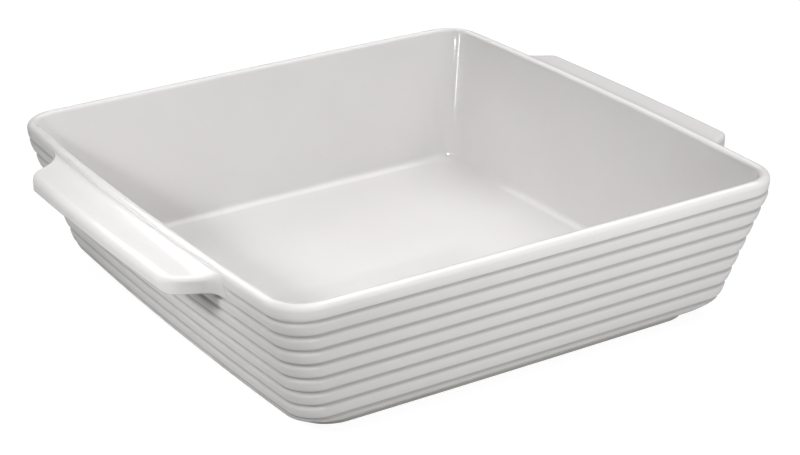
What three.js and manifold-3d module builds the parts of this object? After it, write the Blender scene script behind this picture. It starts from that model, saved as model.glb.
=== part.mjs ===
// Ribbed porcelain gratin dish: a flared, nearly square basin on a low foot ring, with a ledge handle
// luted to each end wall. Millimetres, +Z up. The origin is the middle of the foot, on the table;
// X runs from handle to handle and Y from the front wall to the back wall.
import * as THREE from 'three';
import Module from 'manifold-3d';

const wasm = await Module();
wasm.setup();

// Overall sizes
const rimLength = 266;            // over the rim, from end wall to end wall
const rimWidth = 269;             // over the rim, from front to back
const dishHeight = 72.5;
const handleReach = 18.9;         // how far each handle stands out past the rim

// Plan: a rounded rectangle whose four sides bow outwards a little
const endBowRadius = 2320;        // the two end walls, which carry the handles
const sideBowRadius = 9800;       // the front and back walls
const rimCornerRadius = 18.7;     // outside, at the rim's widest line
const ribCornerRadius = 16;       // outside, at the first groove
const bellyCornerRadius = 13.5;   // outside, where the belly starts
const footCornerRadius = 20;      // outside, at the end of the belly
const floorCornerRadius = 12;     // inside, at the floor

// Section of the wall, rim, floor and foot
const wallFlareDegrees = 15.9;    // lean of the wall from upright
const rimThickness = 5.4;         // the rim is a round bead of this thickness
const floorThickness = 5;
const floorFilletRadius = 5;      // inside, from the wall to the floor
const bellyRadius = 9.2;          // outside, from the wall to the foot
const footHeight = 3.4;
const footStep = 2.1;             // the foot stands this far in from the end of the belly
const footRingWidth = 7;          // unglazed ring that the dish stands on
const footRecess = 1.2;           // height of the underside inside that ring

// Ribs: grooves run round the outside, one pitch apart, from the rim down to the belly
const firstGrooveDrop = 7.6;      // first groove, below the top of the rim
const ribPitch = 7.72;
const grooveWidth = 1.4;
const grooveDepth = 0.8;          // below the line over the rib crowns
const ribCrown = 0.3;             // a rib is this much higher at its middle than at its lips
const ribSetback = 0.5;           // the ribs start this far inside the rim's widest line

// Handles: each one is a ledge with a flat top, drawn out of the wall over the first rib
const handleDrop = 3.9;           // flat top, below the top of the rim
const handleThickness = 8.1;
const handleLength = 160;         // along the wall, between the flares
const handleTaper = 4;            // each end leans in this much from the wall to the outer edge
const handleFlare = 5;            // width of the coves between the handle and the wall
const handleCove = 1;             // rise of the cove between the flat top and the rim
const handleUnderCove = 1.8;      // fall of the cove between the underside and the wall
const handleCornerRadius = 12.5;  // outer corners, seen from above
const handleEndRadius = 1.6;      // upper and lower edges of the ends
const handleTopRound = 4.3;       // width of the rounding along the outer edge, above
const handleTopFall = 4;          // height of that rounding
const handleUnderRound = 1.2;     // radius of the outer edge below
const handleEndLimit = 1 / 3;     // most of the handle's height that an edge of its ends takes
const handleRoot = 6;             // depth of the root before it is cut to the wall
const slipGap = 0.3;              // joint of slip between a handle and the wall

// Facets
const cornerFacets = 6;           // round a vertical corner of the dish
const bowFacets = 4;              // along half a side
const beadFacets = 4;             // on each side of the rim's crest, and below its widest line
const filletFacets = 5;           // floor fillet and belly
const ribFacets = 4;              // across a rib
const endFacets = 4;              // round one edge of a handle's end
const spanFacets = 8;             // along a handle
const coveFacets = 5;             // from the wall out through a handle's flare
const roundFacets = 7;            // over a handle's outer edge

// Places that follow from the sizes
const { lerp, clamp, degToRad } = THREE.MathUtils;
const flare = degToRad(wallFlareDegrees);
const quarterTurn = Math.PI / 2;
const firstGrooveZ = dishHeight - firstGrooveDrop;
const beadRadius = rimThickness / 2;
const beadZ = dishHeight - beadRadius;
const floorZ = footRecess + floorThickness;
const bellyTopZ = footHeight + bellyRadius * (1 - Math.sin(flare));
const grooveCount = 1 + Math.floor((firstGrooveZ - grooveWidth / 2 - bellyTopZ) / ribPitch);
const handleTopZ = dishHeight - handleDrop;
const handleMidZ = handleTopZ - handleThickness / 2;
const handleEdge = handleReach + crownInset(handleMidZ);   // from the wall to the outer edge

// Numbers from start to end in equal steps, both ends included
function steps(start, end, count) {
  return Array.from({ length: count + 1 }, (_, index) => lerp(start, end, index / count));
}

// How far the line over the rib crowns lies inside the rim's widest line, at height z
function crownInset(z) {
  return ribSetback + (firstGrooveZ - z) * Math.tan(flare);
}

// One ring of the dish seen from above, anticlockwise, set in from the rim's widest line
function planRing(inset, cornerRadius) {
  const halfLength = rimLength / 2 - inset;
  const halfWidth = rimWidth / 2 - inset;
  const endCentreX = halfLength - endBowRadius;
  const sideCentreY = halfWidth - sideBowRadius;
  // A corner arc touches an end bow and a side bow from inside, which fixes its distance to both centres
  const toEnd = endBowRadius - cornerRadius;
  const toSide = sideBowRadius - cornerRadius;
  const apart = Math.hypot(endCentreX, sideCentreY);
  const along = (toEnd ** 2 - toSide ** 2 + apart ** 2) / (2 * apart);
  const across = Math.sqrt(toEnd ** 2 - along ** 2);
  const cornerX = endCentreX - (along * endCentreX + across * sideCentreY) / apart;
  const cornerY = (along * sideCentreY - across * endCentreX) / apart;
  const endAngle = Math.atan2(cornerY, cornerX - endCentreX);
  const sideAngle = Math.atan2(cornerY - sideCentreY, cornerX);
  const arc = (x, y, radius, from, to, count) => steps(from, to, count)
    .map((angle) => new THREE.Vector2(x + radius * Math.cos(angle), y + radius * Math.sin(angle)));
  const quarter = [
    ...arc(endCentreX, 0, endBowRadius, 0, endAngle, bowFacets).slice(0, -1),
    ...arc(cornerX, cornerY, cornerRadius, endAngle, sideAngle, cornerFacets).slice(0, -1),
    ...arc(0, sideCentreY, sideBowRadius, sideAngle, quarterTurn, bowFacets),
  ];
  const there = quarter.slice(0, -1);
  const back = quarter.slice(1).reverse();
  const turned = (points, signX, signY) => points.map(({ x, y }) => new THREE.Vector2(signX * x, signY * y));
  return [...there, ...turned(back, -1, 1), ...turned(there, -1, -1), ...turned(back, 1, -1)];
}

// Rounding that starts level and ends upright, as a share of its height, for a share of its width
function quarterRound(share) {
  return 1 - Math.sqrt(1 - clamp(share, 0, 1) ** 2);
}

// Corner radius of the outside at height z: it tightens down to the belly and opens again to the foot
function outsideCorner(z) {
  return z > bellyTopZ
    ? lerp(bellyCornerRadius, ribCornerRadius, clamp((z - bellyTopZ) / (firstGrooveZ - bellyTopZ), 0, 1))
    : lerp(footCornerRadius, bellyCornerRadius, (z - footHeight) / (bellyTopZ - footHeight));
}

// Outside of the wall in section, from the end of the belly up to the rim: inset and height of each ring
function outsideProfile() {
  const profile = [];
  const add = (inset, z) => profile.push({ inset, z, corner: outsideCorner(z) });
  const bellyZ = footHeight + bellyRadius;
  const bellyInset = crownInset(bellyZ) + bellyRadius / Math.cos(flare);
  for (const angle of steps(quarterTurn, flare, filletFacets)) {
    add(bellyInset - bellyRadius * Math.cos(angle), bellyZ - bellyRadius * Math.sin(angle));
  }
  const ribHalf = (ribPitch - grooveWidth) / 2;
  for (let groove = grooveCount - 1; groove >= 0; groove -= 1) {
    const grooveZ = firstGrooveZ - groove * ribPitch;
    const lowerLipZ = grooveZ - grooveWidth / 2;
    add(crownInset(lowerLipZ) + ribCrown, lowerLipZ);
    add(crownInset(grooveZ) + grooveDepth, grooveZ);
    // The rib above this groove; above the first groove comes the rim instead
    const acrossRib = groove > 0 ? steps(-1, 1, ribFacets).slice(0, -1) : [];
    for (const share of acrossRib) {
      const z = grooveZ + ribPitch / 2 + share * ribHalf;
      add(crownInset(z) + ribCrown * share ** 2, z);
    }
  }
  return profile;
}

// Flank of the rim, from its lip over the first groove up to its widest line
function flankProfile() {
  const lipZ = firstGrooveZ + grooveWidth / 2;
  const lipInset = crownInset(lipZ) + ribCrown;
  return steps(1, 0, beadFacets).map((share) => {
    const inset = lipInset * quarterRound(share);
    return { inset, z: lerp(beadZ, lipZ, share), corner: rimCornerRadius - inset };
  });
}

// Bead of the rim, from its widest line, over the top, to where the inside wall starts
function beadProfile() {
  const outer = steps(Math.PI, quarterTurn, beadFacets).slice(1);
  const inner = steps(quarterTurn, flare, beadFacets).slice(1);
  return [...outer, ...inner].map((angle) => {
    const inset = beadRadius + beadRadius * Math.cos(angle);
    return { inset, z: beadZ + beadRadius * Math.sin(angle), corner: rimCornerRadius - inset };
  });
}

// Floor fillet, from the foot of the inside wall to the edge of the flat floor
function floorProfile(rimEnd) {
  const filletZ = floorZ + floorFilletRadius;
  const wallInset = rimEnd.inset + (rimEnd.z - filletZ) * Math.tan(flare);
  const filletInset = wallInset + floorFilletRadius / Math.cos(flare);
  return steps(flare, quarterTurn, filletFacets).map((angle) => {
    const z = filletZ - floorFilletRadius * Math.sin(angle);
    const corner = lerp(floorCornerRadius, rimEnd.corner, (z - floorZ) / (rimEnd.z - floorZ));
    return { inset: filletInset - floorFilletRadius * Math.cos(angle), z, corner };
  });
}

// Foot ring and the shallow recess inside it, from the middle of the underside outwards
function footProfile(bellyEnd) {
  const footInset = bellyEnd.inset + footStep;
  const ringInset = footInset + footRingWidth;
  const corner = footCornerRadius - footStep;
  return [
    { inset: ringInset + footRecess, z: footRecess, corner },
    { inset: ringInset, z: 0, corner },
    { inset: footInset, z: 0, corner },
    { inset: footInset, z: footHeight, corner },
  ];
}

// Closed solid through a stack of rings with equally many points; a fan closes the first and the last
function loft(rings) {
  const count = rings[0].length;
  const total = (ring) => ring.reduce((sum, point) => sum.add(point), new THREE.Vector3());
  const middle = (ring) => total(ring).divideScalar(count);
  const vertices = [...rings.flat(), middle(rings[0]), middle(rings.at(-1))];
  const lastRing = (rings.length - 1) * count;
  const firstMiddle = rings.length * count;
  const triangles = [];
  for (let index = 0; index < count; index += 1) {
    const next = (index + 1) % count;
    for (let start = 0; start < lastRing; start += count) {
      const above = start + count;
      triangles.push(start + index, start + next, above + next, start + index, above + next, above + index);
    }
    triangles.push(firstMiddle, next, index, firstMiddle + 1, lastRing + index, lastRing + next);
  }
  const geometry = new THREE.BufferGeometry().setFromPoints(vertices);
  geometry.setIndex(new THREE.BufferAttribute(new Uint32Array(triangles), 1));
  return geometry;
}

// Closed solid whose section, listed from its start to its end, is carried round the dish in plan
function loftRoundDish(profile) {
  return loft(profile.map(({ inset, z, corner }) => planRing(inset, corner)
    .map(({ x, y }) => new THREE.Vector3(x, y, z))));
}

// Geometry of a first solid with a second one cut away
function cutAway(geometry, tool) {
  const solid = ({ attributes, index }) => new wasm.Manifold(new wasm.Mesh({
    numProp: 3,
    vertProperties: attributes.position.array,
    triVerts: index.array,
  }));
  const { vertProperties, triVerts } = solid(geometry).subtract(solid(tool)).getMesh();
  const result = new THREE.BufferGeometry();
  result.setAttribute('position', new THREE.BufferAttribute(vertProperties, 3));
  result.setIndex(new THREE.BufferAttribute(triVerts, 1));
  return result;
}

// Basin: underside, belly, ribs, rim, inside wall and floor in one wall of clay
function basinGeometry() {
  const outside = [...outsideProfile(), ...flankProfile()];
  const bead = beadProfile();
  return loftRoundDish([...footProfile(outside[0]), ...outside, ...bead, ...floorProfile(bead.at(-1))]);
}

// The outside of the basin grown by the slip joint and filled, to cut a handle's root to the ribs
function seatGeometry() {
  const skin = [...outsideProfile(), ...flankProfile(), ...beadProfile().slice(0, beadFacets - 1)];
  return loftRoundDish(skin.map(({ inset, z, corner }) => ({ inset: inset - slipGap, z, corner })));
}

// One cross-section of the right handle, at a distance out from the wall, anticlockwise seen from outside
function handleRing(out) {
  const left = handleEdge - out;
  const cove = quarterRound(1 - out / handleFlare);
  const cornerRound = quarterRound(1 - left / handleCornerRadius);
  const topRound = quarterRound(1 - left / handleTopRound);
  const underRound = quarterRound(1 - left / handleUnderRound);
  const taper = handleTaper * out / handleEdge;
  const half = handleLength / 2 - taper + handleFlare * cove - handleCornerRadius * cornerRound;
  const top = handleTopZ + handleCove * cove - handleTopFall * topRound;
  const bottom = handleTopZ - handleThickness - handleUnderCove * cove + handleUnderRound * underRound;
  const radius = Math.min(handleEndRadius, handleEndLimit * (top - bottom));
  const round = (y, z, from) => steps(from, from + quarterTurn, endFacets)
    .map((angle) => new THREE.Vector2(y + radius * Math.cos(angle), z + radius * Math.sin(angle)));
  const span = steps(half - radius, radius - half, spanFacets).slice(1, -1);
  const outline = [
    ...round(half - radius, bottom + radius, -quarterTurn),
    ...round(half - radius, top - radius, 0),
    ...span.map((y) => new THREE.Vector2(y, top)),
    ...round(radius - half, top - radius, quarterTurn),
    ...round(radius - half, bottom + radius, 2 * quarterTurn),
    ...span.map((y) => new THREE.Vector2(-y, bottom)),
  ];
  // The root leans with the wall and the outer edge stands upright; both follow the bow of the end wall
  const upright = clamp((out - handleFlare) / (handleEdge - handleFlare), 0, 1);
  return outline.map(({ x: y, y: z }) => {
    const bow = endBowRadius - Math.sqrt(endBowRadius ** 2 - y ** 2);
    const seat = lerp(Math.max(crownInset(z), 0), crownInset(handleMidZ), upright);
    return new THREE.Vector3(rimLength / 2 - bow - seat + out, y, z);
  });
}

// Right handle: from the root in the wall, through the flare, along the ledge and over its outer edge
function handleGeometry() {
  const flareOuts = steps(0, quarterTurn, coveFacets).map((angle) => handleFlare * (1 - Math.cos(angle)));
  const edgeOuts = steps(0, quarterTurn, roundFacets)
    .map((angle) => handleEdge - handleCornerRadius * (1 - Math.sin(angle)));
  const rings = [...flareOuts, ...edgeOuts].map(handleRing);
  const root = rings[0].map(({ x, y, z }) => new THREE.Vector3(x - handleRoot, y, z));
  return cutAway(loft([root, ...rings]), seatGeometry());
}

// White glazed porcelain all over
const glazedPorcelain = new THREE.MeshStandardMaterial({ color: 0xf3f2ef, roughness: 0.15, metalness: 0 });

const dish = new THREE.Group();

function addPiece(name, geometry) {
  geometry.computeVertexNormals();
  const piece = new THREE.Mesh(geometry, glazedPorcelain);
  piece.name = name;
  dish.add(piece);
  return piece;
}

addPiece('dish_body', basinGeometry());
addPiece('right_handle', handleGeometry());
addPiece('left_handle', handleGeometry()).rotation.z = Math.PI;

export default dish;
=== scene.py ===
# %% [markdown]
# # A ribbed porcelain gratin dish
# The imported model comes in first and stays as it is: it fixes where everything belongs, in metres. Every piece made
# below is a finer, glazed version of one of its solids and takes that solid's place in the picture.

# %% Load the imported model
import math
from functools import partial

import bmesh
import bpy
import numpy as np
from mathutils import Matrix, Vector


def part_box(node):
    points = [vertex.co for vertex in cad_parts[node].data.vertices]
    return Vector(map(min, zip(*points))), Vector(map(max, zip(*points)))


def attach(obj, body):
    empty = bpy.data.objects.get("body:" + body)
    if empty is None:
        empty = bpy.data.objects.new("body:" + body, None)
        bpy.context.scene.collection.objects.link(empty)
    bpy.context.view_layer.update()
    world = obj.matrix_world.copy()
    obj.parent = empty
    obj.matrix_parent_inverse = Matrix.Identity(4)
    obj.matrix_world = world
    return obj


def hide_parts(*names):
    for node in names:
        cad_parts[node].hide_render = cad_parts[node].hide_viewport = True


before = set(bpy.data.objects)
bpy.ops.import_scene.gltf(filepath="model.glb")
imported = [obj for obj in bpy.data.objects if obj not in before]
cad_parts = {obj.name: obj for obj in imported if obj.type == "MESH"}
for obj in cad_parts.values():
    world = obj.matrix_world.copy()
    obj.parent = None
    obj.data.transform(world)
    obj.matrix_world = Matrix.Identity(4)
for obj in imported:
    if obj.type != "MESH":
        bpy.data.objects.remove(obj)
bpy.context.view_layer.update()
MM = 0.001

# %% [markdown]
# ## Sizes
# The dish is pressed clay, so its form is a wall section carried round a plan. These are the sizes a mould maker
# would note down, in millimetres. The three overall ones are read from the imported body, so both stay the same.

# %% Sizes of the dish
body_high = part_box("dish_body")[1]
RIM_LENGTH = 2 * body_high.x / MM
RIM_WIDTH = 2 * body_high.y / MM
HEIGHT = body_high.z / MM
END_BOW, SIDE_BOW = 2320.0, 9800.0      # radii of the four slightly bowed sides
FLARE = math.radians(15.9)              # lean of the wall from upright
BEAD = 2.7                              # radius of the rim's rounded edge
BEAD_HEIGHT = HEIGHT - BEAD
RIM_CORNER, RIB_CORNER, BELLY_CORNER = 18.7, 16.0, 13.5     # radii of the corners in plan, down the outside
FOOT_CORNER, FLOOR_CORNER = 20.0, 12.0  # the same at the foot, and inside at the floor
FLOOR_HEIGHT, FLOOR_FILLET = 6.2, 5.0   # the floor inside, and the rounding at its edge
BELLY, BELLY_BULGE = 9.2, 0.4           # radius of the belly, and its shape: 1 is round, 0 a straight slope
FOOT_HEIGHT, FOOT_STEP, FOOT_RING, FOOT_RECESS = 3.4, 2.1, 7.0, 1.2
FIRST_GROOVE, RIB_PITCH, GROOVES = HEIGHT - 7.6, 7.72, 8
GROOVE_DEPTH, GROOVE_SPREAD = 0.75, 1.1
RIB_CROWN, RIB_SETBACK = 0.2, 0.5       # how far a rib swells, and how far the first one lies inside the rim
print("rim", round(RIM_LENGTH, 1), "x", round(RIM_WIDTH, 1), "mm, height", round(HEIGHT, 1), "mm")

# %% [markdown]
# ## Outlines
# Seen from above, every level of the dish is a rounded rectangle with gently bowed sides. A corner arc touches an end
# bow and a side bow from inside, so its middle lies where two circles cross. All outlines have equally many points,
# and point number 40 of one lies next to point number 40 of the next: that is what lets them be lofted.

# %% Outline of one level
SIDE_STEPS, CORNER_STEPS = 18, 22       # along half a side, and round a corner
COLUMNS = 4 * (2 * SIDE_STEPS + CORNER_STEPS)


def outline(inset, corner):
    """Points round one level, in millimetres, at an inset from the rim and with a corner radius."""
    half_x, half_y = RIM_LENGTH / 2 - inset, RIM_WIDTH / 2 - inset
    end_x, side_y = half_x - END_BOW, half_y - SIDE_BOW
    to_end, to_side, apart = END_BOW - corner, SIDE_BOW - corner, math.hypot(end_x, side_y)
    along = (to_end**2 - to_side**2 + apart**2) / (2 * apart)
    across = math.sqrt(to_end**2 - along**2)
    mid_x = end_x - (along * end_x + across * side_y) / apart
    mid_y = (along * side_y - across * end_x) / apart
    end_angle, side_angle = math.atan2(mid_y, mid_x - end_x), math.atan2(mid_y - side_y, mid_x)

    def arc(x, y, radius, start, stop, count):
        turn = np.linspace(start, stop, count, endpoint=False)
        return np.stack([x + radius * np.cos(turn), y + radius * np.sin(turn)], 1)

    quarter = np.concatenate([
        arc(end_x, 0, END_BOW, 0, end_angle, SIDE_STEPS),
        arc(mid_x, mid_y, corner, end_angle, side_angle, CORNER_STEPS),
        arc(0, side_y, SIDE_BOW, side_angle, math.pi / 2, SIDE_STEPS),
        [[0, half_y]],
    ])
    back = quarter[:0:-1] * [-1, 1]
    half = np.concatenate([quarter[:-1], back])
    return np.concatenate([half, -half])


print("points on an outline:", len(outline(0, RIM_CORNER)), "expected", COLUMNS)

# %% [markdown]
# ## Levels of the section
# A plaster mould gives the dish its section: a smooth inside, a round rim, a leaning wall, a belly that turns under
# and a low foot. The corner radius changes on the way, so one profile swept round would not do. Instead the section
# is hung on nine outlines, and a point lies between two of them.

# %% Levels of the section
BELLY_TURN = math.radians(45)           # half way round the belly
wall_run = math.tan(FLARE)


def crown_inset(height):
    """How far the line over the rib crowns lies inside the rim, at a height."""
    return RIB_SETBACK + (FIRST_GROOVE - height) * wall_run


mouth_inset = BEAD * (1 + math.cos(FLARE))
mouth_height = BEAD_HEIGHT + BEAD * math.sin(FLARE)
fillet_height = FLOOR_HEIGHT + FLOOR_FILLET
floor_inset = mouth_inset + (mouth_height - fillet_height) * wall_run + FLOOR_FILLET / math.cos(FLARE)
belly_height = FOOT_HEIGHT + BELLY
belly_inset = crown_inset(belly_height) + BELLY / math.cos(FLARE)
foot_inset = belly_inset + FOOT_STEP
ring_inset = foot_inset + FOOT_RING
belly_top = belly_height - BELLY * math.sin(FLARE)
turned_inset, turned_height = belly_inset - BELLY * math.cos(BELLY_TURN), belly_height - BELLY * math.sin(BELLY_TURN)
turned_corner = BELLY_CORNER + (FOOT_CORNER - BELLY_CORNER) * (belly_top - turned_height) / (belly_top - FOOT_HEIGHT)
LEVELS = {                              # inset from the rim, and corner radius
    "rim": (0.0, RIM_CORNER), "mouth": (mouth_inset, RIM_CORNER - mouth_inset), "floor": (floor_inset, FLOOR_CORNER),
    "ribs": (RIB_SETBACK, RIB_CORNER), "belly": (crown_inset(belly_top), BELLY_CORNER),
    "turned": (turned_inset, turned_corner), "under": (belly_inset, FOOT_CORNER),
    "foot": (foot_inset, FOOT_CORNER - FOOT_STEP), "ring": (ring_inset, FOOT_CORNER - FOOT_STEP),
}
level_names = list(LEVELS)
print("insets of the levels in mm:", {name: round(inset, 1) for name, (inset, _) in LEVELS.items()})

# %% [markdown]
# ## Rows of the section
# The rows of the loft run from the middle of the floor, up the inside, over the rim, down the outside and under the
# foot. A row says between which two levels it lies and how far along, how high it is, whether ribs are pressed into
# it, and whether its glaze is wiped off. Rows crowd together at a groove, because a narrow groove needs points to
# bend.

# %% Rows of the inside and the rim
FLOOR_ROWS = (1.0, 0.75, 0.5, 0.25, 0.1, 0.03)          # 1 in the middle of the floor, 0 at its edge
FILLET_ROWS, WALL_ROWS, BEAD_ROWS, LIP_ROWS = 13, 18, 30, 12
LIP_RISE, LIP_STEP = 0.8, 0.5           # the rim ends this far above the first groove, and this far behind the ribs
rows = []


def row(first, second, inset, height, to_centre=0.0, ribbed=0.0, bare=0.0):
    start, stop = LEVELS[first][0], LEVELS[second][0]
    rows.append({"first": level_names.index(first), "second": level_names.index(second),
                 "share": (inset - start) / (stop - start), "height": height, "to_centre": to_centre,
                 "ribbed": ribbed, "between": (stop - start) * MM, "bare": bare})


for to_centre in FLOOR_ROWS:
    row("mouth", "floor", floor_inset, FLOOR_HEIGHT, to_centre)
for turn in np.linspace(math.pi / 2, FLARE, FILLET_ROWS):
    row("mouth", "floor", floor_inset - FLOOR_FILLET * math.cos(turn), fillet_height - FLOOR_FILLET * math.sin(turn))
fillet_end = fillet_height - FLOOR_FILLET * math.sin(FLARE)
for height in np.linspace(fillet_end, mouth_height, WALL_ROWS)[1:-1]:
    row("mouth", "floor", mouth_inset + (mouth_height - height) * wall_run, height)
for turn in np.linspace(FLARE, math.pi, BEAD_ROWS):
    row("rim", "mouth", BEAD * (1 + math.cos(turn)), BEAD_HEIGHT + BEAD * math.sin(turn))
lip_height = FIRST_GROOVE + LIP_RISE
lip_inset = crown_inset(lip_height) + LIP_STEP
for share in np.sin(np.linspace(0, math.pi / 2, LIP_ROWS))[1:]:
    row("rim", "mouth", lip_inset * (1 - math.sqrt(1 - share**2)), BEAD_HEIGHT + (lip_height - BEAD_HEIGHT) * share)
print("rows of the inside and the rim:", len(rows))

# %% Rows of the ribs and the belly
BESIDE_GROOVE = (0.25, 0.5, 0.78, 1.05, 1.35, 1.65, 2.0, 2.4, 2.9)      # distances from the middle of a groove
ON_RIB = (0.44, 0.5, 0.56)              # shares of the way from one groove to the next
LIP_GAP = 0.05                          # no row comes closer to the rim's end than this
BELLY_ROWS = 26
near_groove = [0, *BESIDE_GROOVE, *(-away for away in BESIDE_GROOVE)]
heights = [FIRST_GROOVE - groove * RIB_PITCH + offset for groove in range(GROOVES) for offset in near_groove]
heights += [FIRST_GROOVE - (groove + share) * RIB_PITCH for groove in range(GROOVES - 1) for share in ON_RIB]
for height in sorted((h for h in heights if belly_top < h < lip_height - LIP_GAP), reverse=True):
    row("ribs", "belly", crown_inset(height), height, ribbed=1.0)
for share in np.linspace(0, 1, BELLY_ROWS):
    turn = FLARE + (math.pi / 2 - FLARE) * share
    round_inset, round_height = belly_inset - BELLY * math.cos(turn), belly_height - BELLY * math.sin(turn)
    flat_inset = crown_inset(belly_top) + (belly_inset - crown_inset(belly_top)) * share
    flat_height = belly_top + (FOOT_HEIGHT - belly_top) * share
    inset = flat_inset + (round_inset - flat_inset) * BELLY_BULGE
    first, second = ("belly", "turned") if inset < turned_inset else ("turned", "under")
    row(first, second, inset, flat_height + (round_height - flat_height) * BELLY_BULGE, ribbed=1.0)
print("rows down to the foot:", len(rows))

# %% Rows of the foot
# Each pair is a step inwards from the foot's outside or from the ring's inside, and a height
FOOT_SIDE = ((-0.5, FOOT_HEIGHT), (-0.15, FOOT_HEIGHT - 0.1), (0.0, FOOT_HEIGHT - 0.4), (0.0, 1.8), (0.0, 0.5),
             (0.15, 0.15), (0.5, 0.0))
RING_EDGE = ((-0.5, 0.0), (-0.1, 0.1))
RECESS_EDGE = ((0.8, FOOT_RECESS - 0.1), (1.3, FOOT_RECESS))
RECESS_ROWS = (0.05, 0.3, 0.65, 1.0)    # 1 in the middle of the recess, 0 at its edge
for step, height in FOOT_SIDE:
    row("under", "foot", foot_inset + step, height, bare=1.0)
for step, height in RING_EDGE:
    row("foot", "ring", ring_inset + step, height, bare=1.0)
for step, height in RECESS_EDGE:
    row("foot", "ring", ring_inset + step, height)
for to_centre in RECESS_ROWS:
    row("foot", "ring", ring_inset + RECESS_EDGE[-1][0], FOOT_RECESS, to_centre)
print("rows:", len(rows), "columns:", COLUMNS)

# %% [markdown]
# ## Handles, in plan
# Each end wall carries a ledge handle with a flat top. Its ends slant in towards the outer edge, its outer corners are
# rounded, and coves lead from the handle into the wall on all sides, a wider one on top, because glaze and fingers
# both need soft inside corners. The reach of a handle is settled here already, because the ribs behind it have to fade
# out under those coves.

# %% Sizes of a handle
HANDLE_TOP, HANDLE_THICKNESS, HANDLE_LENGTH = HEIGHT - 3.9, 8.1, 160.0
HANDLE_TAPER, HANDLE_CORNER = 11.0, 6.0         # slant of an end in plan, and the radius of its outer corner
COVE, TOP_COVE = 5.0, 8.5               # width of the coves at the wall, and of the one on top
COVE_RISE, COVE_FALL = 2.6, 1.8         # how far the coves climb above and hang below the handle
TOP_ROUND, TOP_FALL, UNDER_ROUND = 4.3, 4.0, 2.2        # rounding of the outer edge, above and below
END_ROUND, UNDER_ROLL = 2.2, 0.3        # rounding of an end's upper edge, and how much of it the lower edge gets
handle_middle = HANDLE_TOP - HANDLE_THICKNESS / 2
handle_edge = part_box("right_handle")[1].x / MM - RIM_LENGTH / 2 + crown_inset(handle_middle)
handle_half = HANDLE_LENGTH / 2 + COVE
print("handle reaches", round(handle_edge, 2), "mm from the wall, over", round(2 * handle_half, 1), "mm")

# %% [markdown]
# ## A small kit for node trees and objects
# Node trees are built in code, so a few short helpers keep that readable: one makes a node and wires its inputs, one
# does a sum, one makes a smooth step, and one turns an input's name into the identifier by which a modifier knows it.
# The last one puts anything new into the scene.

# %% Helpers


def add_node(tree, kind, inputs=None, **settings):
    made = tree.nodes.new(kind)
    for name, value in settings.items():
        setattr(made, name, value)
    for name, value in (inputs or {}).items():
        if isinstance(value, bpy.types.NodeSocket):
            tree.links.new(value, made.inputs[name])
        else:
            made.inputs[name].default_value = value
    return made


def calculate(tree, operation, *values, clamp=False):
    return add_node(tree, "ShaderNodeMath", dict(enumerate(values)), operation=operation, use_clamp=clamp).outputs[0]


def blend_step(tree, value, low, high):
    """0 at low, 1 at high and a smooth step between them."""
    return add_node(tree, "ShaderNodeMapRange", {"Value": value, "From Min": low, "From Max": high},
                    interpolation_type="SMOOTHSTEP").outputs["Result"]


def set_input(modifier, name, value):
    for item in modifier.node_group.interface.items_tree:
        if item.item_type == "SOCKET" and item.in_out == "INPUT" and item.name == name:
            modifier[item.identifier] = value


def add_object(name, data):
    made = bpy.data.objects.new(name, data)
    bpy.context.scene.collection.objects.link(made)
    return made


print("helpers:", *(helper.__name__ for helper in (add_node, calculate, blend_step, set_input, add_object)))

# %% [markdown]
# ## Clouding of the clay and ripple of the glaze
# Fired porcelain is never one flat white. The clay clouds a little and carries a few fine specks, and the glaze on top
# lies in long shallow ripples that bend a reflection. Glazed and bare porcelain share the effect, so it is one node
# group that puts out a mask for the clouds, a mask for the specks and a height for the ripples.

# %% Node group for clouding and ripple
SURFACE_SCALES = {"Cloud Scale": 22.0, "Speck Scale": 700.0, "Ripple Scale": 38.0}
CLOUD_DETAIL, CLOUD_LOW, CLOUD_HIGH = 4.0, 0.3, 0.7
SPECK_SIZE, SPECK_EDGE, SPECK_RARITY = 0.16, 0.08, 0.985
RIPPLE_DETAIL = 1.0


def porcelain_surface_group():
    tree = bpy.data.node_groups.new("porcelain_surface", "ShaderNodeTree")
    for name, value in SURFACE_SCALES.items():
        tree.interface.new_socket(name, in_out="INPUT", socket_type="NodeSocketFloat").default_value = value
    for name in ("Clouds", "Specks", "Ripple"):
        tree.interface.new_socket(name, in_out="OUTPUT", socket_type="NodeSocketFloat")
    given = tree.nodes.new("NodeGroupInput").outputs
    place = tree.nodes.new("ShaderNodeTexCoord").outputs["Object"]

    def noise(scale, detail):
        return add_node(tree, "ShaderNodeTexNoise", {"Vector": place, "Scale": given[scale], "Detail": detail})

    clouds = noise("Cloud Scale", CLOUD_DETAIL).outputs["Fac"]
    grains = add_node(tree, "ShaderNodeTexVoronoi", {"Vector": place, "Scale": given["Speck Scale"]}).outputs
    specks = blend_step(tree, calculate(tree, "SUBTRACT", SPECK_SIZE, grains["Distance"]), 0.0, SPECK_EDGE)
    lot = add_node(tree, "ShaderNodeSeparateColor", {"Color": grains["Color"]}).outputs[0]
    rare = calculate(tree, "GREATER_THAN", lot, SPECK_RARITY)
    out = tree.nodes.new("NodeGroupOutput").inputs
    tree.links.new(blend_step(tree, clouds, CLOUD_LOW, CLOUD_HIGH), out["Clouds"])
    tree.links.new(calculate(tree, "MULTIPLY", specks, rare), out["Specks"])
    tree.links.new(noise("Ripple Scale", RIPPLE_DETAIL).outputs["Fac"], out["Ripple"])
    return tree


surface_group = porcelain_surface_group()
print("group outputs:", [item.name for item in surface_group.interface.items_tree if item.in_out == "OUTPUT"])
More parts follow.
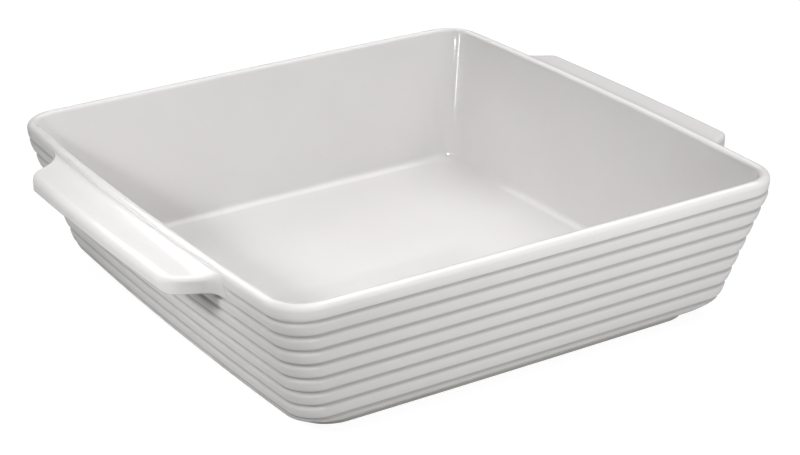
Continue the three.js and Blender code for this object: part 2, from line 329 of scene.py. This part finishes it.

# %% [markdown]
# ## Glazed porcelain and bare porcelain
# The glaze is a thin clear glass over white clay: a soft body with a sharp, glossy coat, which a Principled shader
# gives as a rough base under a clear coat. A mask that the basin's tree leaves on its points darkens the colour in the
# grooves, as painted shade where the grooves lie in shade. The foot's side and the ring the dish stands on are wiped
# before firing, so they are dry, matt and a little greyer; most of their grey is painted shade, the dark contact
# shadow along the foot.

# %% The two finishes
WHITE_CLAY, WHITE_CLOUD = (0.81, 0.795, 0.792), (0.79, 0.774, 0.77)
# bare clay is matt and a little greyer, and darker still as painted shade: the contact shadow along the foot
BARE_CLAY_AND_SHADE, BARE_CLOUD_AND_SHADE = (0.50, 0.485, 0.455), (0.45, 0.435, 0.405)
# the second colour is painted shade: the dark grey that a groove's colour is pulled towards
SPECK_COLOUR, GROOVE_SHADE_COLOUR = (0.52, 0.49, 0.45), (0.42, 0.41, 0.40)
GROOVE_SHADE_STRENGTH = 0.85                          # how far the colour in a groove goes towards the painted shade colour
WHITE_ROUGHNESS, BARE_ROUGHNESS = 0.22, 0.85
GLAZE_RIPPLE, BARE_GRAIN = 0.03 * MM, 0.1 * MM
GLAZE = {"Coat Weight": 1.0, "Coat Roughness": 0.015, "Coat IOR": 1.5, "Specular IOR Level": 0.0}


def mix_colour(tree, mask, first, second):
    return add_node(tree, "ShaderNodeMix", {0: mask, 6: first, 7: second}, data_type="RGBA").outputs[2]


def porcelain(name, clay, cloud, roughness, ripple_height):
    """A clouded, speckled and slightly uneven clay, with its colour still to be linked."""
    material = bpy.data.materials.new(name)
    material.use_nodes = True
    tree = material.node_tree
    shader = tree.nodes["Principled BSDF"]
    surface = add_node(tree, "ShaderNodeGroup", node_tree=surface_group).outputs
    colour = mix_colour(tree, surface["Clouds"], (*clay, 1), (*cloud, 1))
    colour = mix_colour(tree, surface["Specks"], colour, (*SPECK_COLOUR, 1))
    bump = add_node(tree, "ShaderNodeBump", {"Height": surface["Ripple"], "Strength": 1.0, "Distance": ripple_height})
    tree.links.new(bump.outputs["Normal"], shader.inputs["Normal"])
    shader.inputs["Roughness"].default_value = roughness
    return material, shader, colour


glazed, glazed_shader, colour = porcelain("glazed_porcelain", WHITE_CLAY, WHITE_CLOUD, WHITE_ROUGHNESS, GLAZE_RIPPLE)
tree = glazed.node_tree
# painted shade: the groove mask from the basin's tree darkens the glaze's colour in every groove
groove_shade_mask = add_node(tree, "ShaderNodeAttribute", attribute_name="groove").outputs["Fac"]
colour = mix_colour(tree, calculate(tree, "MULTIPLY", groove_shade_mask, GROOVE_SHADE_STRENGTH), colour, (*GROOVE_SHADE_COLOUR, 1))
tree.links.new(colour, glazed_shader.inputs["Base Color"])
for name, value in GLAZE.items():
    glazed_shader.inputs[name].default_value = value

# bare clay for the wiped foot, its colour darkened as painted contact shade
bare, bare_shader, colour = porcelain("bare_shaded_porcelain", BARE_CLAY_AND_SHADE, BARE_CLOUD_AND_SHADE, BARE_ROUGHNESS, BARE_GRAIN)
bare.node_tree.links.new(colour, bare_shader.inputs["Base Color"])
print("finishes:", glazed.name, "and", bare.name)

# %% [markdown]
# ## The basin, as a node tree
# A loft follows a rule, and the ribs repeat, so the basin is a Geometry Nodes tree. It starts from a flat grid: one
# side of the grid counts the rows of the section and the other runs round the plan. Each point looks up its two
# outlines, takes its place between them, and is pushed in by the rib rule. The outlines and the rows are handed to the
# tree as loose points, because a tree can look up a point by its number.

# %% Points that the tree looks up
ROW_VALUES = {"first": "INT", "second": "INT", "share": "FLOAT", "to_centre": "FLOAT", "ribbed": "FLOAT",
              "between": "FLOAT", "bare": "FLOAT"}


def loose_points(name, points):
    mesh = bpy.data.meshes.new(name)
    mesh.from_pydata([tuple(p) for p in points], [], [])
    return add_object(name, mesh)


flat_outlines = np.concatenate([outline(*LEVELS[name]) for name in level_names]) * MM
outline_points = loose_points("outlines", np.column_stack([flat_outlines, np.zeros(len(flat_outlines))]))
section_points = loose_points("section", [(0, 0, one["height"] * MM) for one in rows])
for label, kind in ROW_VALUES.items():
    values = section_points.data.attributes.new(label, kind, "POINT").data
    values.foreach_set("value", [one[label] for one in rows])
print("looked up:", len(flat_outlines), "outline points and", len(section_points.data.vertices), "rows")

# %% [markdown]
# ## The rib rule
# Rounding finds the nearest groove, and the distance to it shapes both the groove and the gentle swell of a rib. One
# rule for all grooves keeps the ribs alike, as a turned mould would. Behind a handle the first rib fades into the
# plain wall, because the handle's coves lie there.

# %% The rib rule
FADE_INSIDE, FADE_OUTSIDE = 1.0, 6.0    # the fade begins inside a cove's end and stops outside it
FADE_TOP, FADE_BOTTOM = 1.2, 0.2        # above the second groove


def groove_and_crown(tree, given, height):
    """A mask for the groove at a height, and how far the rib's swell is held back there."""
    do = partial(calculate, tree)
    below = do("DIVIDE", do("SUBTRACT", given["First Groove"], height), given["Rib Pitch"])
    last = do("SUBTRACT", given["Grooves"], 1)
    nearest = do("MINIMUM", do("MAXIMUM", do("ROUND", below), 0), last)
    away = do("MULTIPLY", do("ABSOLUTE", do("SUBTRACT", below, nearest)), given["Rib Pitch"])
    spread = do("POWER", do("DIVIDE", away, given["Groove Spread"]), 2)
    groove = do("EXPONENT", do("MULTIPLY", spread, -1))
    half_pitch = do("MULTIPLY", given["Rib Pitch"], 0.5)
    from_middle = do("SUBTRACT", 1, do("DIVIDE", away, half_pitch), clamp=True)
    return groove, do("MULTIPLY", do("POWER", from_middle, 2), given["Rib Crown"])


def clear_of_handles(tree, given, height, place):
    """0 on the wall behind a handle, 1 beside and below it."""
    do = partial(calculate, tree)
    along = do("ABSOLUTE", add_node(tree, "ShaderNodeSeparateXYZ", {0: place}).outputs["Y"])
    fade = do("SUBTRACT", given["Handle Half"], FADE_INSIDE * MM), do("ADD", given["Handle Half"], FADE_OUTSIDE * MM)
    second_groove = do("SUBTRACT", given["First Groove"], given["Rib Pitch"])
    fade_down = do("ADD", second_groove, FADE_TOP * MM), do("ADD", second_groove, FADE_BOTTOM * MM)
    return do("MAXIMUM", blend_step(tree, along, *fade), blend_step(tree, height, *fade_down))


print("grooves at heights in mm:", [round(FIRST_GROOVE - groove * RIB_PITCH, 1) for groove in range(GROOVES)])

# %% [markdown]
# ## The whole tree
# The tree has a named input for every size, so that a rib can be changed by hand later. It leaves two marks on the
# points, one for the groove and one for wiped rows, closes the seam, and ends in real faces with their two finishes.

# %% The tree
BASIN_INPUTS = {
    "Outlines": ("Object", outline_points), "Section": ("Object", section_points),
    "Rows": ("Int", len(rows)), "Columns": ("Int", COLUMNS), "First Groove": ("Float", FIRST_GROOVE * MM),
    "Rib Pitch": ("Float", RIB_PITCH * MM), "Grooves": ("Int", GROOVES), "Groove Depth": ("Float", GROOVE_DEPTH * MM),
    "Groove Spread": ("Float", GROOVE_SPREAD * MM), "Rib Crown": ("Float", RIB_CROWN * MM),
    "Handle Half": ("Float", handle_half * MM), "Glaze": ("Material", glazed), "Bare Clay": ("Material", bare),
}
SEAM = 0.01 * MM                        # points closer than this are one point
FULLY_BARE = 0.99


def basin_tree():
    tree = bpy.data.node_groups.new("ribbed_basin", "GeometryNodeTree")
    tree.is_modifier = True
    for name, (kind, _) in BASIN_INPUTS.items():
        tree.interface.new_socket(name, in_out="INPUT", socket_type=f"NodeSocket{kind}")
    tree.interface.new_socket("Geometry", in_out="OUTPUT", socket_type="NodeSocketGeometry")
    given = tree.nodes.new("NodeGroupInput").outputs
    node, do = partial(add_node, tree), partial(calculate, tree)

    # Which row and which column a point of the grid belongs to
    around = do("ADD", given["Columns"], 1)
    grid = node("GeometryNodeMeshGrid", {"Vertices X": given["Rows"], "Vertices Y": around}).outputs["Mesh"]
    count = node("GeometryNodeInputIndex").outputs[0]
    at_row = do("FLOOR", do("DIVIDE", do("ADD", count, 0.5), around))
    at_column = do("FLOORED_MODULO", do("SUBTRACT", count, do("MULTIPLY", at_row, around)), given["Columns"])

    def named(label, kind):
        return node("GeometryNodeInputNamedAttribute", {"Name": label}, data_type=kind).outputs["Attribute"]

    def look_up(source, value, number, kind):
        points = node("GeometryNodeObjectInfo", {"Object": given[source]}).outputs["Geometry"]
        return node("GeometryNodeSampleIndex", {"Geometry": points, "Value": value, "Index": number},
                    data_type=kind).outputs["Value"]

    def of_row(label, kind="FLOAT"):
        return look_up("Section", named(label, kind), at_row, kind)

    def on_outline(label):
        number = do("ADD", do("MULTIPLY", of_row(label, "INT"), given["Columns"]), at_column)
        return look_up("Outlines", here, number, "FLOAT_VECTOR")

    # Its place between two outlines, pushed in by the rib rule
    here = node("GeometryNodeInputPosition").outputs[0]
    height = node("ShaderNodeSeparateXYZ", {0: look_up("Section", here, at_row, "FLOAT_VECTOR")}).outputs["Z"]
    first, second = on_outline("first"), on_outline("second")
    groove, crown = groove_and_crown(tree, given, height)
    kept = do("MULTIPLY", clear_of_handles(tree, given, height, first), of_row("ribbed"))
    groove = do("MULTIPLY", groove, kept)
    pressed = do("ADD", do("MULTIPLY", groove, given["Groove Depth"]), do("MULTIPLY", crown, kept))
    share = do("ADD", of_row("share"), do("DIVIDE", pressed, of_row("between")))
    level = node("ShaderNodeMix", {"Factor": share, 4: first, 5: second}, data_type="VECTOR", clamp_factor=False)
    outwards = do("SUBTRACT", 1, of_row("to_centre"))
    drawn = node("ShaderNodeVectorMath", {0: level.outputs[1], "Scale": outwards}, operation="SCALE").outputs[0]
    flat = node("ShaderNodeSeparateXYZ", {0: drawn}).outputs
    place = node("ShaderNodeCombineXYZ", {"X": flat["X"], "Y": flat["Y"], "Z": height}).outputs[0]

    # Marks, faces and finishes
    marked = grid
    for label, value in (("groove", groove), ("bare", of_row("bare"))):
        marked = node("GeometryNodeStoreNamedAttribute", {"Geometry": marked, "Name": label, "Value": value},
                      data_type="FLOAT", domain="POINT").outputs[0]
    placed = node("GeometryNodeSetPosition", {"Geometry": marked, "Position": place}).outputs[0]
    closed = node("GeometryNodeMergeByDistance", {"Geometry": placed, "Distance": SEAM}).outputs[0]
    smooth = node("GeometryNodeSetShadeSmooth", {"Geometry": closed}).outputs[0]
    whole = node("GeometryNodeRealizeInstances", {"Geometry": smooth}).outputs[0]
    covered = node("GeometryNodeSetMaterial", {"Geometry": whole, "Material": given["Glaze"]}).outputs[0]
    # the wiped rows of the foot get the bare clay, which carries painted contact shade
    wiped = do("GREATER_THAN", named("bare", "FLOAT"), FULLY_BARE)
    finished = node("GeometryNodeSetMaterial", {
        "Geometry": covered, "Selection": wiped, "Material": given["Bare Clay"]}).outputs[0]
    tree.links.new(finished, tree.nodes.new("NodeGroupOutput").inputs["Geometry"])
    return tree


basin_rule = basin_tree()
print("nodes in the basin's tree:", len(basin_rule.nodes))

# %% [markdown]
# ## From tree to mesh
# A modifier runs the tree on an empty object. Its inputs are set before the first evaluation, and the result is then
# kept as a plain mesh, so nothing about the dish depends on a live modifier. A closed shell that faces outwards has a
# positive volume, which is a quick test for normals that point the wrong way.

# %% Make the basin


def face_outwards(mesh):
    """Turn a closed mesh to face outwards, and give its volume in cubic centimetres."""
    mesh.calc_loop_triangles()
    corners = np.zeros(len(mesh.vertices) * 3)
    mesh.vertices.foreach_get("co", corners)
    corners = corners.reshape(-1, 3)
    index = np.zeros(len(mesh.loop_triangles) * 3, dtype=np.int32)
    mesh.loop_triangles.foreach_get("vertices", index)
    a, b, c = (corners[index.reshape(-1, 3)[:, k]] for k in range(3))
    volume = (a * np.cross(b, c)).sum() / 6
    if volume < 0:
        mesh.flip_normals()
    return abs(volume) / (10 * MM)**3


basin = add_object("ribbed_basin", bpy.data.meshes.new("ribbed_basin"))
maker = basin.modifiers.new("ribbed_basin", "NODES")
maker.node_group = basin_rule
for name, (_, value) in BASIN_INPUTS.items():
    set_input(maker, name, value)
basin.update_tag()
depsgraph = bpy.context.evaluated_depsgraph_get()
basin_mesh = bpy.data.meshes.new_from_object(
    basin.evaluated_get(depsgraph), preserve_all_data_layers=True, depsgraph=depsgraph)
basin.modifiers.clear()
basin.data = basin_mesh
for points in (outline_points, section_points):
    bpy.data.objects.remove(points)
print("basin:", len(basin_mesh.polygons), "faces,", round(face_outwards(basin_mesh)), "cm3 of porcelain")

# %% [markdown]
# ## The handles
# A potter presses a handle in its own small mould and lutes it to the wall with slip. It could be a bevelled block,
# but the coves and the rounded ends run into each other, so it is two height fields over the same plan, one for its
# top and one for its underside, that meet in a narrow upright nose. At the wall both fields end in a cove that lies
# against the wall, so the joint hardly shows.

# %% Shape of a handle
END_LIMIT = 3                           # an end is rounded by no more than its thickness over this


def quarter_round(share):
    """0 at a share of 0, rising along a quarter circle to 1."""
    return 1 - np.sqrt(1 - np.clip(share, 0, 1) ** 2)


def half_length(out):
    """Half the length of a handle at a distance out from the wall."""
    taper = HANDLE_TAPER * out / handle_edge
    cove = COVE * quarter_round(1 - out / COVE)
    corner = HANDLE_CORNER * quarter_round(1 - (handle_edge - out) / HANDLE_CORNER)
    return HANDLE_LENGTH / 2 - taper + cove - corner


def handle_heights(along, out):
    """Top and underside of a handle at a place along the wall and a distance out from it."""
    left, cove = handle_edge - out, quarter_round(1 - out / COVE)
    top = HANDLE_TOP + COVE_RISE * quarter_round(1 - out / TOP_COVE) - TOP_FALL * quarter_round(1 - left / TOP_ROUND)
    under = HANDLE_TOP - HANDLE_THICKNESS - COVE_FALL * cove + UNDER_ROUND * quarter_round(1 - left / UNDER_ROUND)
    radius = np.minimum(END_ROUND, (top - under) / END_LIMIT)
    from_end = np.maximum(half_length(out) - np.abs(along), 0)
    roll = radius * quarter_round(1 - from_end / radius)
    return top - roll, under + UNDER_ROLL * roll


lengths = 2 * half_length(np.array([0, handle_edge]))
print("handle length at the wall and at its edge in mm:", *lengths.round(1))

# %% [markdown]
# ## Mesh of a handle
# Slices are cut across the handle from one end to the other. Each runs out along the underside, up the nose and back
# over the top, and its last two points lie inside the wall, where the handle is rooted. Neighbouring slices are joined
# by faces. The left handle is the right one turned half round, as a maker would use one mould for both.

# %% Slices and faces
COVE_STEPS, LEDGE_STEPS, ROUND_STEPS = 18, 6, 22        # points on the way out: the cove, the ledge and its rounding
EDGE_STEPS, NOSE_STEPS = 26, 5          # slices along the straight edge, and points up the nose
ROOT_DEPTH = 2.0                        # how far a handle reaches into the wall
ROOT_FACES, END_FACES = 3, 2            # faces of a slice that lie in the wall, and faces that close the ends
SAME_POINT, NO_LENGTH = 0.001 * MM, 0.0005 * MM


def handle_slices():
    cove_turn, round_turn = (np.linspace(0, math.pi / 2, count) for count in (COVE_STEPS, ROUND_STEPS))
    outs = np.concatenate([COVE * (1 - np.cos(cove_turn)),
                           np.linspace(COVE, handle_edge - HANDLE_CORNER, LEDGE_STEPS)[1:],
                           handle_edge - HANDLE_CORNER * (1 - np.sin(round_turn))[1:]])
    ends = half_length(outs)
    along = np.concatenate([ends, np.linspace(ends[-1], -ends[-1], EDGE_STEPS + 2)[1:-1], -ends[::-1]])
    reach = np.concatenate([outs, np.full(EDGE_STEPS, handle_edge), outs[::-1]])
    run = outs / handle_edge
    slices = []
    for y, far in zip(along, reach):
        top, under = handle_heights(y, run * far)
        nose = np.linspace(under[-1], top[-1], NOSE_STEPS + 2)[1:-1]
        out = np.concatenate([run * far, np.full(NOSE_STEPS, far), run[::-1] * far])
        height = np.concatenate([under, nose, top[::-1]])
        lean = np.clip((out - COVE) / (handle_edge - COVE), 0, 1)
        seat = np.maximum(crown_inset(height), 0) * (1 - lean) + crown_inset(handle_middle) * lean
        bow = END_BOW - math.sqrt(END_BOW**2 - y * y)
        x = RIM_LENGTH / 2 - bow - seat + out
        root = np.array([[x[-1] - ROOT_DEPTH, y, height[-1]], [x[0] - ROOT_DEPTH, y, height[0]]])
        slices.append(np.concatenate([np.stack([x, np.full(len(x), y), height], 1), root]))
    return slices


def handle_mesh(name):
    slices = handle_slices()
    size, last = len(slices[0]), len(slices) - 1
    faces = [(i * size + j, i * size + (j + 1) % size, (i + 1) * size + (j + 1) % size, (i + 1) * size + j)
             for i in range(last) for j in range(size)]
    faces += [tuple(range(size)), tuple(range(last * size, (last + 1) * size))[::-1]]
    mesh = bpy.data.meshes.new(name)
    mesh.from_pydata([tuple(p) for p in np.concatenate(slices) * MM], [], faces)
    mesh.materials.append(glazed)
    in_wall = [at % size >= size - ROOT_FACES or at >= len(faces) - END_FACES for at in range(len(faces))]
    mesh.polygons.foreach_set("use_smooth", [not inside for inside in in_wall])
    clean = bmesh.new()
    clean.from_mesh(mesh)
    bmesh.ops.remove_doubles(clean, verts=clean.verts, dist=SAME_POINT)
    bmesh.ops.dissolve_degenerate(clean, edges=clean.edges, dist=NO_LENGTH)
    clean.to_mesh(mesh)
    clean.free()
    return mesh


right_mesh = handle_mesh("right_ledge_handle")
volume = face_outwards(right_mesh)
left_mesh = right_mesh.copy()
left_mesh.name = "left_ledge_handle"
left_mesh.transform(Matrix.Rotation(math.pi, 4, "Z"))
handles = {"right_handle": add_object("right_ledge_handle", right_mesh),
           "left_handle": add_object("left_ledge_handle", left_mesh)}
print("handle:", len(right_mesh.polygons), "faces,", round(volume, 1), "cm3")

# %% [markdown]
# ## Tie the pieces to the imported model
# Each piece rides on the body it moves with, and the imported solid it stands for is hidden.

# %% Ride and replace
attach(basin, "root")
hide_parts("dish_body")
for node, piece in handles.items():
    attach(piece, "root")
    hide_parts(node)
print("pieces:", basin.name, *(piece.name for piece in handles.values()))

# %% [markdown]
# ## Floor and surrounding
# The dish stands on white paper, a hair below the foot so that the two never share a plane. Lamps see the paper as a
# mid grey, so it throws a little light back under the dish. What the camera sees of it is lifted to white by a glow,
# and keeps only the shadow close to the dish. Reflections in the glaze keep a share of that white: with all of it a
# white glaze would wash out where it is seen at a low angle.

# %% Paper floor and white surrounding
MIRRORED = 0.4                          # how much of the white a reflection in the glaze keeps
PAPER, SHADOWED_PAPER, PAPER_GLOW = 0.34, 0.12, 0.94
FLOOR_REACH, FLOOR_LEVEL = 4.0, -0.2 * MM


def white_seen(tree):
    """How much of the white a ray sees: all of it from the camera, a share in a reflection, none as light."""
    path = tree.nodes.new("ShaderNodeLightPath").outputs
    mirrored = calculate(tree, "MAXIMUM", path["Is Glossy Ray"], path["Is Transmission Ray"])
    return calculate(tree, "MAXIMUM", path["Is Camera Ray"], calculate(tree, "MULTIPLY", mirrored, MIRRORED))


paper = bpy.data.materials.new("white_paper")
paper.use_nodes = True
tree = paper.node_tree
tree.nodes.remove(tree.nodes["Principled BSDF"])
plain, faint = (add_node(tree, "ShaderNodeBsdfDiffuse", {"Color": (grey, grey, grey, 1)}).outputs[0]
                for grey in (PAPER, SHADOWED_PAPER))
glow = add_node(tree, "ShaderNodeEmission", {"Color": (1, 1, 1, 1), "Strength": PAPER_GLOW}).outputs[0]
lifted = add_node(tree, "ShaderNodeAddShader", {0: faint, 1: glow}).outputs[0]
paper_mix = add_node(tree, "ShaderNodeMixShader", {0: white_seen(tree), 1: plain, 2: lifted}).outputs[0]
tree.links.new(paper_mix, tree.nodes["Material Output"].inputs["Surface"])

floor_mesh = bpy.data.meshes.new("paper_floor")
floor_corners = [(x * FLOOR_REACH, y * FLOOR_REACH, FLOOR_LEVEL) for x, y in ((-1, -1), (1, -1), (1, 1), (-1, 1))]
floor_mesh.from_pydata(floor_corners, [], [(0, 1, 2, 3)])
floor_mesh.materials.append(paper)
floor = add_object("paper_floor", floor_mesh)

world = bpy.data.worlds.new("white_surrounding")
world.use_nodes = True
bpy.context.scene.world = world
background = world.node_tree.nodes["Background"]
background.inputs["Color"].default_value = (1, 1, 1, 1)
world.node_tree.links.new(white_seen(world.node_tree), background.inputs["Strength"])
print("floor", round(2 * FLOOR_REACH, 1), "m wide,", MIRRORED, "of the white in reflections")

# %% [markdown]
# ## Studio lights
# A catalogue picture is lit by soft boxes. Three large ones, at the right, beyond the dish and over the camera, light
# its floor and walls and run along the rim as soft highlights. A small key lamp at the left throws the shadow under
# the left handle. A low box in front lights the ribs, and reflections leave it out, or it would show as a window in
# the back wall. Two small lamps make the thin upright streaks in the far corner.

# %% Soft boxes
DISH_MIDDLE, WIDE = (0, 0, 0.03), 180
LIGHTS = {                              # place, aim, width and height in metres, beam in degrees, power in watts
    "key": ((-0.62, -0.18, 0.43), (-0.127, -0.02, 0.0), 0.09, 0.09, 44, 0.178),
    "front": ((0.05, -0.47, 0.10), DISH_MIDDLE, 0.22, 0.12, WIDE, 0.80),
    "right": ((0.67, 0.05, 1.12), DISH_MIDDLE, 1.1, 0.75, WIDE, 8.3),
    "back": ((0.05, 1.05, 1.02), DISH_MIDDLE, 2.0, 0.5, WIDE, 6.2),
    "top": ((-0.1, -0.62, 1.25), DISH_MIDDLE, 0.9, 0.9, WIDE, 5.8),
    "streak": ((-1.025, 0.082, 0.406), DISH_MIDDLE, 0.06, 0.09, WIDE, 0.35),
    "second_streak": ((-0.91, -0.276, 0.514), (0.12, 0.12, 0.05), 0.05, 0.06, WIDE, 0.3),
}
for name, (place, aim, width, height, beam, power) in LIGHTS.items():
    lamp = bpy.data.lights.new(name, "AREA")
    lamp.shape, lamp.size, lamp.size_y = "RECTANGLE", width, height
    lamp.energy, lamp.spread = power, math.radians(beam)
    away = (Vector(place) - Vector(aim)).normalized()
    box = add_object(name, lamp)
    box.matrix_world = Matrix.Translation(place) @ away.to_track_quat("Z", "Y").to_matrix().to_4x4()
    box.visible_glossy = name != "front"
print("lights in watts:", {name: values[-1] for name, values in LIGHTS.items()})

# %% [markdown]
# ## Camera
# The camera stands in front of the dish and a little to its left, looks down on it and is a short telephoto, as the
# small difference in size between the near and the far rim shows. Its place was worked out from the dish's corners
# and grooves in an 800 by 455 picture.

# %% Camera
AZIMUTH, ELEVATION, ROLL = (math.radians(v) for v in (-31.9695, 23.5082, -0.7512))
FOCAL_PIXELS, PICTURE_WIDTH, SENSOR_WIDTH = 2140.7, 800, 36.0
CAMERA_PLACE = (-0.49077, -0.79821, 0.43747)
camera_data = bpy.data.cameras.new("camera")
camera_data.sensor_fit, camera_data.sensor_width = "HORIZONTAL", SENSOR_WIDTH
camera_data.lens = FOCAL_PIXELS / PICTURE_WIDTH * SENSOR_WIDTH
level = math.cos(ELEVATION)
back = Vector((math.sin(AZIMUTH) * level, -math.cos(AZIMUTH) * level, math.sin(ELEVATION)))
right = Vector((0, 0, 1)).cross(back).normalized()
up = back.cross(right)
rolled_right = right * math.cos(ROLL) + up * math.sin(ROLL)
rolled_up = up * math.cos(ROLL) - right * math.sin(ROLL)
camera = add_object("camera", camera_data)
turn = Matrix((rolled_right, rolled_up, back)).transposed().to_4x4()
camera.matrix_world = Matrix.Translation(CAMERA_PLACE) @ turn
bpy.context.scene.camera = camera
bpy.context.scene.view_settings.view_transform = "Standard"
print("lens", round(camera_data.lens, 2), "mm")
